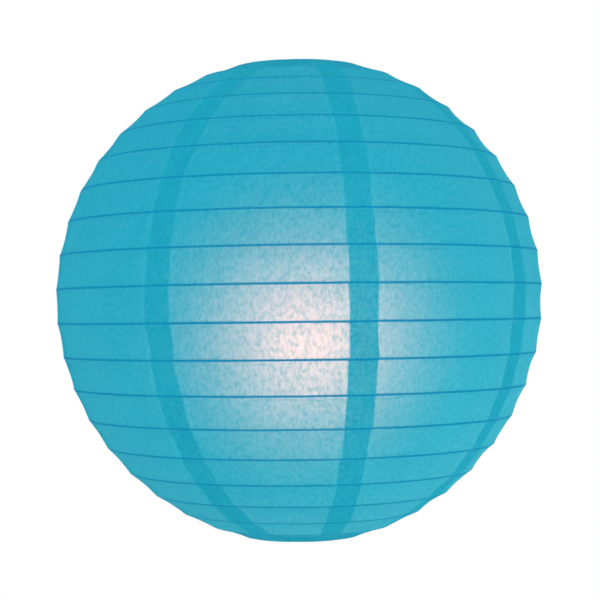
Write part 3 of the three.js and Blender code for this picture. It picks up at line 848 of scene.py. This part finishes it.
def goreSheet(index):
    seam = math.radians(gores["firstSeam"] + 360 / gores["count"] * index)
    step = 2 * math.pi / gores["count"]
    columns, lapColumns = gores["columns"], gores["lapColumns"]
    points, place, lapped, grid, strips = [], [], [], [], []

    def azimuths(lap, leading, trailing):
        middle = columns - 2 * lapColumns
        full = [lap * i / lapColumns for i in range(lapColumns)]
        full += [lap + (step - lap) * i / middle for i in range(middle)]
        full += [step + lap * i / lapColumns for i in range(lapColumns + 1)]
        for i in range(lapColumns):  # the wobble of an edge dies away over the lap
            full[i] += leading * (1 - i / lapColumns)
            full[-1 - i] += trailing * (1 - i / lapColumns)
        return full

    def addRow(line, run, lap):
        grid.append(range(len(points), len(points) + len(line)))
        for azimuth, (turn, radius, height) in line:
            points.append((radius * math.cos(turn), radius * math.sin(turn), height))
            place.append(((azimuth - step / 2) * max(radius, 0.03), run, index * 0.37))
            lapped.append(1 - smoothShare((azimuth - lap) * radius / 0.0006)
                          + smoothShare((azimuth - step) * radius / 0.0006 + 1))

    def hemLines(upwards, runStart):
        # over the ring's outer end, round it, and back along the inside of the first band
        band = 0 if upwards > 0 else len(hoops) - 2
        hoop = hoops[0] if upwards > 0 else hoops[-1]
        radial, up = outwardAt(hoop)
        start = math.atan2(up, radial)
        lap = lapWidth(hoop) / hoop["radius"]
        lines = []
        for degrees in (30, 60, 90, 120, 150, 180):
            turned = start + upwards * math.radians(degrees)
            line = []
            for azimuth in azimuths(lap, 0, 0):
                layer = gores["layer"] * smoothShare((azimuth - lap) / (step - lap))
                out = hoop["wire"] + gores["stand"] + (layer if degrees < 90 else -layer)
                radius = hoop["radius"] + out * math.cos(turned)
                line.append((azimuth, (seam + azimuth, radius, hoop["height"] + out * math.sin(turned))))
            reach = math.radians(degrees) * hoop["wire"]
            lines.append((line, runStart - upwards * reach, lap, reach))
        length = math.hypot(hoops[band]["radius"] - hoops[band + 1]["radius"],
                            hoops[band]["height"] - hoops[band + 1]["height"])
        for share in (0.06, 0.14, 0.24, 0.4, 0.6, 0.8, 1.0):
            extra = gores["hem"] * share
            t = extra / length if upwards > 0 else 1 - extra / length
            depth = 2 * (hoop["wire"] + gores["stand"])
            inside = depth + (0.00035 - depth) * smoothShare(extra / 0.005)
            line = []
            for azimuth in azimuths(lap, 0, 0):
                line.append((azimuth, paperPoint(band, t, azimuth, seam, -inside, lap)))
            reach = math.pi * hoop["wire"] + extra
            lines.append((line, runStart - upwards * reach, lap, reach))
        return lines

    run = 0.0
    for line, at, lap, reach in reversed(hemLines(1, 0.0)):
        if grid:
            strips.append((-min(before, 0.008), -min(reach, 0.008)))
        addRow(line, at, lap)
        before = reach
    strips.append((-before, 0.0))
    for band in range(len(hoops) - 1):
        here, there = hoops[band], hoops[band + 1]
        length = math.hypot(here["radius"] - there["radius"], here["height"] - there["height"])
        steps = bandSteps + [1.0]
        for t, following in zip(steps, steps[1:]):
            lap = (lapWidth(here) / here["radius"]) * (1 - t) + (lapWidth(there) / there["radius"]) * t
            radiusHere = here["radius"] * (1 - t) + there["radius"] * t
            leading = edgeWobble(index, 0, band, t) / radiusHere
            trailing = edgeWobble(index, 1, band, t) / radiusHere
            line = [
                (azimuth, paperPoint(band, t, azimuth, seam, 0.0, lap))
                for azimuth in azimuths(lap, leading, trailing)
            ]
            addRow(line, run + t * length, lap)
            # signed distance from the nearer wire, for the strip below this row
            near = 0 if (t + following) / 2 < 0.5 else 1
            strips.append(((t - near) * length, (following - near) * length))
        run += length
    lastLap = lapWidth(hoops[-1]) / hoops[-1]["radius"]
    lastBand = len(hoops) - 2
    lastLine = [(a, paperPoint(lastBand, 1.0, a, seam, 0.0, lastLap)) for a in azimuths(lastLap, 0, 0)]
    addRow(lastLine, run, lastLap)
    before = 0.0
    for line, at, lap, reach in hemLines(-1, run):
        strips.append((min(before, 0.008), min(reach, 0.008)))
        addRow(line, at, lap)
        before = reach

    faces, distances = [], []
    for upper, lower, (above, below) in zip(grid, grid[1:], strips):
        for a, b, c, d in zip(upper, upper[1:], lower[1:], lower):
            faces.append((a, d, c, b))
            distances += [above, below, below, above]
    piece = meshFrom(f"paperGore{index + 1}", points, faces, dyedTissue)
    mesh = piece.data
    layer = mesh.attributes.new("sheetPlace", "FLOAT_VECTOR", "POINT")
    layer.data.foreach_set("vector", [value for trio in place for value in trio])
    layer = mesh.attributes.new("onLap", "FLOAT", "POINT")
    layer.data.foreach_set("value", lapped)
    layer = mesh.attributes.new("fromWire", "FLOAT", "CORNER")
    layer.data.foreach_set("value", distances)
    sheetUv = mesh.uv_layers.new(name="sheet")
    across = max(abs(p[0]) for p in place) * 2
    lowest, highest = min(p[1] for p in place), max(p[1] for p in place)
    for loop in mesh.loops:
        x, y, _ = place[loop.vertex_index]
        sheetUv.data[loop.index].uv = (0.5 + x / (across * 1.02), (highest - y) / (highest - lowest))
    return piece


def sheetArea(piece):
    return sum(polygon.area for polygon in piece.data.polygons)


for index in range(gores["count"]):
    gore = goreSheet(index)
    hand(gore, "frame", f"gore_{index + 1}")
    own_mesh(gore)
    print("gore", index + 1, "area", round(sheetArea(gore), 5))
print("gores made")


# Wire expander and the lamp's hanger

expander = {
    "wire": 0.0011,  # radius
    "eyeBore": 0.014,
    "dipHalfWidth": 0.012,
    "notchArm": 0.006,
    "notchSlope": 30,
    "notchRun": 0.009,
    "ringClearance": 0.001,
    "bend": 0.0035,
}
gap = 0.0003
wireAcross = 2 * expander["wire"]
legX = hoops[-1]["radius"] - hoops[-1]["wire"] - expander["wire"] - expander["ringClearance"]
eyeTurn = (expander["eyeBore"] + wireAcross) / 2
eyeCentre = -expander["eyeBore"] / 2
dipHeight = eyeCentre - eyeTurn
eyeShift = (wireAcross + gap) / 2 + 0.00005


def notchEnds(ring, press):
    slope = math.radians(expander["notchSlope"])
    away = ring["wire"] + expander["wire"] + gap
    seatX = ring["radius"] - away * math.sin(slope)
    seatZ = ring["height"] - press * away * math.cos(slope)
    ends = []
    for along in (-expander["notchArm"], expander["notchArm"]):
        ends.append(Vector((seatX + along * math.cos(slope), 0, seatZ - press * along * math.sin(slope))))
    return ends


shoulderInner, shoulderTip = notchEnds(hoops[0], 1)
footInner, footTip = notchEnds(hoops[-1], -1)
legTop = shoulderTip.z - expander["notchRun"] - gap

rightArm = [
    Vector((expander["dipHalfWidth"], eyeShift, dipHeight)),
    shoulderInner,
    shoulderTip,
    Vector((legX, 0, shoulderTip.z - expander["notchRun"] + expander["bend"] / 2)),
    Vector((legX, 0, legTop)),
]
leftArm = [Vector((-p.x, -p.y, p.z)) for p in reversed(rightArm)]
eyeRun = arcRun((0, 0, eyeCentre), eyeTurn, (1, 0, 0), (0, 0, 1), -math.pi / 2, 1.5 * math.pi, 56)
for i, place in enumerate(eyeRun):
    place.y = eyeShift * (2 * i / (len(eyeRun) - 1) - 1)
rightRun = bentThrough([Vector((0, eyeShift, dipHeight))] + rightArm, expander["bend"])
leftRun = bentThrough(leftArm + [Vector((0, -eyeShift, dipHeight))], expander["bend"])
barRun = leftRun[:-1] + eyeRun + rightRun[1:]
barWire = wirePiece("expanderWire", barRun, expander["wire"], drawnWire, ends=False)
hand(barWire, "frame", "expander_bar")

for side, name in ((-1, "left"), (1, "right")):
    corners = [
        (side * legX, 0, legTop),
        (side * legX, 0, footTip.z + expander["notchRun"] - expander["bend"] / 2),
        (side * footTip.x, 0, footTip.z),
        tuple(Vector((side * footTip.x, 0, footTip.z)).lerp(Vector((side * footInner.x, 0, footInner.z)), 0.86)),
    ]
    bent = bentThrough(corners, expander["bend"])
    straight = [bent[0].lerp(bent[1], i / 40) for i in range(41)]
    leg = wirePiece(f"{name}Leg", straight + bent[2:], expander["wire"], drawnWire, ends=False)
    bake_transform(leg)
    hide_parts(f"leg_{name}")
print("expander made")

hook = {"wire": 0.0008, "bore": 0.010, "tail": 0.005, "bend": 0.0035, "earBar": 0.003}
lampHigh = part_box("lamp_cap")[1]
earHeight = lampHigh[2] - hook["earBar"] / 2
hookReach = hook["bore"] / 2 - expander["wire"] - gap
hookCentre = Vector((0, 0, dipHeight - math.sqrt(hookReach**2 - eyeShift**2)))
upperHook = hook["bore"] / 2 + hook["wire"]
lowerHook = hook["earBar"] / 2 + hook["wire"] + gap
yAxis, zAxis = Vector((0, 1, 0)), Vector((0, 0, 1))
topBend = arcRun(hookCentre, upperHook, yAxis, zAxis, math.pi, 0, 24)
lowBend = arcRun((0, 0, earHeight), lowerHook, yAxis, zAxis, 0, -math.pi, 20)
jog = bentThrough(
    [
        topBend[-1],
        Vector((0, upperHook, hookCentre.z - 0.010)),
        Vector((0, lowerHook, hookCentre.z - 0.018)),
        lowBend[0],
    ],
    hook["bend"],
)
hookRun = [Vector((0, -upperHook, hookCentre.z - hook["tail"]))] + topBend + jog[1:-1] + lowBend
hookRun.append(Vector((0, -lowerHook, earHeight + hook["tail"])))
hanger = wirePiece("lampHook", hookRun, hook["wire"], drawnWire)
hand(hanger, "hanger", "lamp_hanger")
print("hanger made")


# Lamp casing

globeLow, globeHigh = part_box("lamp_globe")
globeRadius = (globeHigh[0] - globeLow[0]) / 2
globeCentre = globeLow[2] + globeRadius
housingLow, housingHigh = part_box("lamp_housing")
housingRadius = 0.018
wall = 0.0016
bore = housingRadius - wall
neck = bore - gap


def globeProfile():
    profile = [(0, globeCentre - globeRadius)]
    end = math.acos(neck / globeRadius)
    for i in range(1, 33):
        latitude = -math.pi / 2 + (end + math.pi / 2) * i / 32
        profile.append((globeRadius * math.cos(latitude), globeCentre + globeRadius * math.sin(latitude)))
    innerNeck, innerRadius = neck - 0.0012, globeRadius - 0.0012
    top = globeHigh[2]
    profile += [(neck, top - 0.0004), (neck - 0.0004, top), (innerNeck, top)]
    innerEnd = math.acos(innerNeck / innerRadius)
    for i in range(24, 0, -1):
        latitude = -math.pi / 2 + (innerEnd + math.pi / 2) * i / 24
        profile.append((innerRadius * math.cos(latitude), globeCentre + innerRadius * math.sin(latitude)))
    profile.append((0, globeCentre - innerRadius))
    return profile


globePiece = turnedPiece("lampGlobe", globeProfile(), frostedGlobe, 96)
hand(globePiece, "lamp", "lamp_globe")


def sectorWall(
    name, inner, outer, low, high, skips, material, around=120, start=0.0, end=2 * math.pi, edge=0.0004
):
    # a curved wall with rectangular windows left out: skips are (from angle, to angle, from height, to height)
    whole = abs(end - start - 2 * math.pi) < 1e-6
    turns = sorted(
        {round(start + (end - start) * i / around, 6) for i in range(around + (0 if whole else 1))}
        | {round(a, 6) for skip in skips for a in skip[:2]}
    )
    heights = sorted({low, high} | {h for skip in skips for h in skip[2:]})
    work = bmesh.new()
    grid = [
        [work.verts.new((outer * math.cos(t), outer * math.sin(t), h)) for t in turns] for h in heights
    ]
    spans = len(turns) if whole else len(turns) - 1
    for r in range(len(heights) - 1):
        middle = (heights[r] + heights[r + 1]) / 2
        for c in range(spans):
            n = (c + 1) % len(turns)
            following = turns[n] if n else turns[0] + 2 * math.pi
            at = (turns[c] + following) / 2
            if any(a < at < b and l < middle < h for a, b, l, h in skips):
                continue
            work.faces.new((grid[r][c], grid[r][n], grid[r + 1][n], grid[r + 1][c]))
    loose = [v for v in work.verts if not v.link_faces]
    bmesh.ops.delete(work, geom=loose, context="VERTS")
    mesh = bpy.data.meshes.new(name)
    work.to_mesh(mesh)
    work.free()
    piece = keepMesh(name, mesh, material)
    thick = piece.modifiers.new("wall", "SOLIDIFY")
    thick.thickness, thick.offset = outer - inner, -1
    applyAll(piece)
    turnOutwards(piece)
    softenEdges(piece, edge, 2, 50)
    piece.data.shade_smooth()
    return piece


doorLow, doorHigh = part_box("battery_door")
doorHalf = math.radians(32)
doorSlack = gap / housingRadius
knobLow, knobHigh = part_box("switch_knob")
knobHalf = math.asin(((knobHigh[0] - knobLow[0]) / 2 + gap) / housingRadius)
quarter = math.pi / 2
casing = sectorWall(
    "lampCasing", bore, housingRadius, housingLow[2], housingHigh[2],
    [
        (
            3 * quarter - doorHalf - doorSlack, 3 * quarter + doorHalf + doorSlack,
            doorLow[2] - gap, doorHigh[2] + gap,
        ),
        (quarter - knobHalf, quarter + knobHalf, knobLow[2] - gap, knobHigh[2] + 0.003 + gap),
    ],
    lampPlastic,
)
hand(casing, "lamp", "lamp_housing")
door = sectorWall(
    "batteryDoor", bore, housingRadius, doorLow[2], doorHigh[2], [], lampPlastic,
    around=40, start=3 * quarter - doorHalf, end=3 * quarter + doorHalf,
)
hand(door, "battery_door", "battery_door")

grip = {"count": 7, "pitch": 0.0016, "width": 0.010, "proud": 0.0005, "thick": 0.0007}


def gripTree():
    # short raised bars in a column, for a thumb to push on
    tree = bpy.data.node_groups.new("thumbGrip", "GeometryNodeTree")
    for label, kind, value in (
        ("Count", "NodeSocketInt", 7),
        ("Pitch", "NodeSocketFloat", 0.0016),
        ("Size", "NodeSocketVector", (0.01, 0.001, 0.001)),
        ("Place", "NodeSocketVector", (0, 0, 0)), ("Finish", "NodeSocketMaterial", None),
    ):
        socket = tree.interface.new_socket(label, in_out="INPUT", socket_type=kind)
        if value is not None:
            socket.default_value = value
    tree.interface.new_socket("Geometry", in_out="OUTPUT", socket_type="NodeSocketGeometry")
    given, result = addNode(tree, "NodeGroupInput"), addNode(tree, "NodeGroupOutput")
    line = addNode(tree, "GeometryNodeMeshLine", mode="OFFSET")
    upwards = addNode(tree, "ShaderNodeCombineXYZ")
    bar = addNode(tree, "GeometryNodeMeshCube")
    spread = addNode(tree, "GeometryNodeInstanceOnPoints")
    real = addNode(tree, "GeometryNodeRealizeInstances")
    paint = addNode(tree, "GeometryNodeSetMaterial")
    joinNodes(
        tree,
        (given.outputs["Count"], line.inputs["Count"]),
        (given.outputs["Place"], line.inputs["Start Location"]),
        (given.outputs["Pitch"], upwards.inputs["Z"]),
        (upwards.outputs["Vector"], line.inputs["Offset"]),
        (given.outputs["Size"], bar.inputs["Size"]),
        (line.outputs["Mesh"], spread.inputs["Points"]),
        (bar.outputs["Mesh"], spread.inputs["Instance"]),
        (spread.outputs["Instances"], real.inputs["Geometry"]),
        (real.outputs["Geometry"], paint.inputs["Geometry"]),
        (given.outputs["Finish"], paint.inputs["Material"]),
        (paint.outputs["Geometry"], result.inputs["Geometry"]),
    )
    return tree


thumbGrip = gripTree()
gripPiece = growTree("doorGrip", thumbGrip, {
    "Count": grip["count"], "Pitch": grip["pitch"],
    "Size": (grip["width"], 2 * grip["proud"], grip["thick"]),
    "Place": (0, -housingRadius * math.cos(grip["width"] / 2 / housingRadius), doorHigh[2] - 0.016),
    "Finish": lampPlastic,
})
softenEdges(gripPiece, 0.0002, 2)
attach(gripPiece, "battery_door")


def knobMesh():
    work = bmesh.new()
    bmesh.ops.create_cube(work, size=1)
    low, high = Vector(knobLow), Vector(knobHigh)
    for vertex in work.verts:
        vertex.co = (low + high) / 2 + Vector([c * (b - a) for c, a, b in zip(vertex.co, low, high)])
    mesh = bpy.data.meshes.new("switchKnob")
    work.to_mesh(mesh)
    work.free()
    return softenEdges(keepMesh("switchKnob", mesh, switchPlastic), 0.0005, 3)


hand(knobMesh(), "switch_knob", "switch_knob")
knobGrip = growTree("knobGrip", thumbGrip, {
    "Count": 3, "Pitch": 0.001, "Size": (0.0026, 0.0006, 0.0004),
    "Place": (0, knobHigh[1], (knobLow[2] + knobHigh[2]) / 2 - 0.001), "Finish": switchPlastic,
})
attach(knobGrip, "switch_knob")

# The cap keeps its frame shape; a milled band round its rim gives fingers a hold
milled = {"count": 60, "proud": 0.00045, "width": 0.0009}
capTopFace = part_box("cap_screw_1")[1][2] - 0.0018 - gap
capLowFace = capTopFace - 0.0024


def milledTree():
    # upright ridges round a rim
    tree = bpy.data.node_groups.new("milledRim", "GeometryNodeTree")
    for label, kind, value in (
        ("Count", "NodeSocketInt", 60),
        ("Radius", "NodeSocketFloat", 0.018),
        ("Height", "NodeSocketFloat", 0.0),
        ("Size", "NodeSocketVector", (0.001, 0.001, 0.002)), ("Finish", "NodeSocketMaterial", None),
    ):
        socket = tree.interface.new_socket(label, in_out="INPUT", socket_type=kind)
        if value is not None:
            socket.default_value = value
    tree.interface.new_socket("Geometry", in_out="OUTPUT", socket_type="NodeSocketGeometry")
    given, result = addNode(tree, "NodeGroupInput"), addNode(tree, "NodeGroupOutput")
    rim = addNode(tree, "GeometryNodeMeshCircle")
    lift = addNode(tree, "GeometryNodeSetPosition")
    upwards = addNode(tree, "ShaderNodeCombineXYZ")
    ridge = addNode(tree, "GeometryNodeMeshCube")
    outwards = addNode(tree, "FunctionNodeAlignEulerToVector", axis="X")
    place = addNode(tree, "GeometryNodeInputPosition")
    flat = addNode(tree, "ShaderNodeVectorMath", operation="MULTIPLY")
    flat.inputs[1].default_value = (1, 1, 0)
    spread = addNode(tree, "GeometryNodeInstanceOnPoints")
    real = addNode(tree, "GeometryNodeRealizeInstances")
    paint = addNode(tree, "GeometryNodeSetMaterial")
    joinNodes(
        tree,
        (given.outputs["Count"], rim.inputs["Vertices"]),
        (given.outputs["Radius"], rim.inputs["Radius"]),
        (given.outputs["Height"], upwards.inputs["Z"]),
        (rim.outputs["Mesh"], lift.inputs["Geometry"]),
        (upwards.outputs["Vector"], lift.inputs["Offset"]),
        (given.outputs["Size"], ridge.inputs["Size"]),
        (place.outputs["Position"], flat.inputs[0]),
        (flat.outputs["Vector"], outwards.inputs["Vector"]),
        (lift.outputs["Geometry"], spread.inputs["Points"]),
        (ridge.outputs["Mesh"], spread.inputs["Instance"]),
        (outwards.outputs["Rotation"], spread.inputs["Rotation"]),
        (spread.outputs["Instances"], real.inputs["Geometry"]),
        (real.outputs["Geometry"], paint.inputs["Geometry"]),
        (given.outputs["Finish"], paint.inputs["Material"]),
        (paint.outputs["Geometry"], result.inputs["Geometry"]),
    )
    return tree


rimPiece = growTree("milledRim", milledTree(), {
    "Count": milled["count"], "Radius": housingRadius, "Height": (capLowFace + capTopFace) / 2,
    "Size": (2 * milled["proud"], milled["width"], (capTopFace - capLowFace) * 0.9), "Finish": lampPlastic,
})
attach(rimPiece, "lamp")


# Frame nodes that keep their shape

kept = {
    "lamp_cap": lampPlastic, "cell_cradle": innerPlastic,
    "led_board": solderResist, "switch_body": switchPlastic,
    "contact_plate_lower": nickelPlate, "contact_plate_upper": nickelPlate,
    "cap_screw_1": nickelPlate, "cap_screw_2": nickelPlate,
    "led_1": ledLens, "led_2": ledLens, "led_3": ledLens,
    "cell_1": cellWrap, "cell_2": cellWrap, "cell_3": cellWrap,
}
for name, finish in kept.items():
    data = nodes[name].data
    if not data.materials:
        data.materials.append(finish)
    for i in range(len(data.materials)):
        data.materials[i] = finish
print("lamp made")


# Floor, light and camera

studio = {
    "floorDrop": 0.62,  # below the shade
    "floorRadius": 1.3,
    "floorColour": (0.93, 0.93, 0.92),
    "ambient": 0.935,
    "keyPower": 3.5,
    "fillPower": 2.2,
}
lensMm = 98.3
cameraDistance = 6.8 * shadeRadius
cameraBelow = 0.057 * shadeRadius
cameraAim = shadeCentre + 0.0008
cameraRight = 0.0005
cameraRoll = -0.7  # degrees, lifts the right-hand side

world = bpy.data.worlds.new("paleStudio")
scene.world = world
world.use_nodes = True
sky = world.node_tree
sky.nodes.clear()
seen = addNode(sky, "ShaderNodeLightPath")
direct = mathNode(sky, "MAXIMUM", seen.outputs["Is Camera Ray"], seen.outputs["Is Glossy Ray"])
direct = mathNode(sky, "MAXIMUM", direct, seen.outputs["Is Transmission Ray"])
strength = addNode(sky, "ShaderNodeMapRange")
setInputs(strength, **{"To Min": studio["ambient"], "To Max": 1.0})
background = addNode(sky, "ShaderNodeBackground")
background.inputs["Color"].default_value = (1, 1, 1, 1)
worldOut = addNode(sky, "ShaderNodeOutputWorld")
joinNodes(
    sky,
    (direct, strength.inputs["Value"]),
    (strength.outputs["Result"], background.inputs["Strength"]),
    (background.outputs[0], worldOut.inputs["Surface"]),
)

floorSize = 64
floorHeight = bottomHeight - studio["floorDrop"]
floorTurns = [2 * math.pi * i / floorSize for i in range(floorSize)]
reach = studio["floorRadius"]
edge = [(reach * math.cos(turn), reach * math.sin(turn), floorHeight) for turn in floorTurns]
floor = meshFrom("studioFloor", edge, [tuple(range(floorSize))], smooth=False)
floorFinish, floorTree, floorSurface, floorOut = startMaterial("palePaperFloor")
floorPlace = addNode(floorTree, "ShaderNodeTexCoord").outputs["Object"]
floorGrain = placeGroup(floorTree, fineGrain, floorPlace, Grain_Size=0.004, Patch_Size=0.2)
tone = rampNode(
    floorTree, [(0.3, tuple(0.985 * c for c in studio["floorColour"])), (0.7, studio["floorColour"])],
    floorGrain.outputs["Tone"],
)
floorTree.links.new(tone.outputs["Color"], floorSurface.inputs["Base Color"])
setInputs(floorSurface, Roughness=0.9)
fromBelow = addNode(floorTree, "ShaderNodeNewGeometry").outputs["Backfacing"]  # clear from underneath
clear = addNode(floorTree, "ShaderNodeBsdfTransparent")
oneSided = addNode(floorTree, "ShaderNodeMixShader")
joinNodes(
    floorTree,
    (fromBelow, oneSided.inputs["Fac"]),
    (floorSurface.outputs[0], oneSided.inputs[1]),
    (clear.outputs[0], oneSided.inputs[2]),
    (oneSided.outputs[0], floorOut.inputs["Surface"]),
)
floor.data.materials.append(floorFinish)


def softLamp(name, place, size, power):
    light = bpy.data.lights.new(name, "AREA")
    light.shape, light.size, light.energy = "DISK", size, power
    holder = bpy.data.objects.new(name, light)
    scene.collection.objects.link(holder)
    holder.location = place
    aim = Vector((0, 0, shadeCentre)) - Vector(place)
    holder.rotation_euler = aim.to_track_quat("-Z", "Y").to_euler()


softLamp("keyLight", (-0.9, -1.3, 0.7), 0.9, studio["keyPower"])
softLamp("fillLight", (1.0, -0.9, -0.55), 0.8, studio["fillPower"])

cameraData = bpy.data.cameras.new("lanternCamera")
cameraData.lens, cameraData.sensor_width = lensMm, 36
camera = bpy.data.objects.new("lanternCamera", cameraData)
scene.collection.objects.link(camera)
camera.location = (cameraRight, -cameraDistance, cameraAim - cameraBelow)
aim = Vector((cameraRight, 0, cameraAim)) - camera.location
turn = aim.to_track_quat("-Z", "Y").to_matrix().to_4x4()
camera.rotation_euler = turn.to_euler()
camera.rotation_euler.rotate_axis("Z", math.radians(cameraRoll))
scene.camera = camera
scene.view_settings.view_transform = "Standard"
print("studio set")
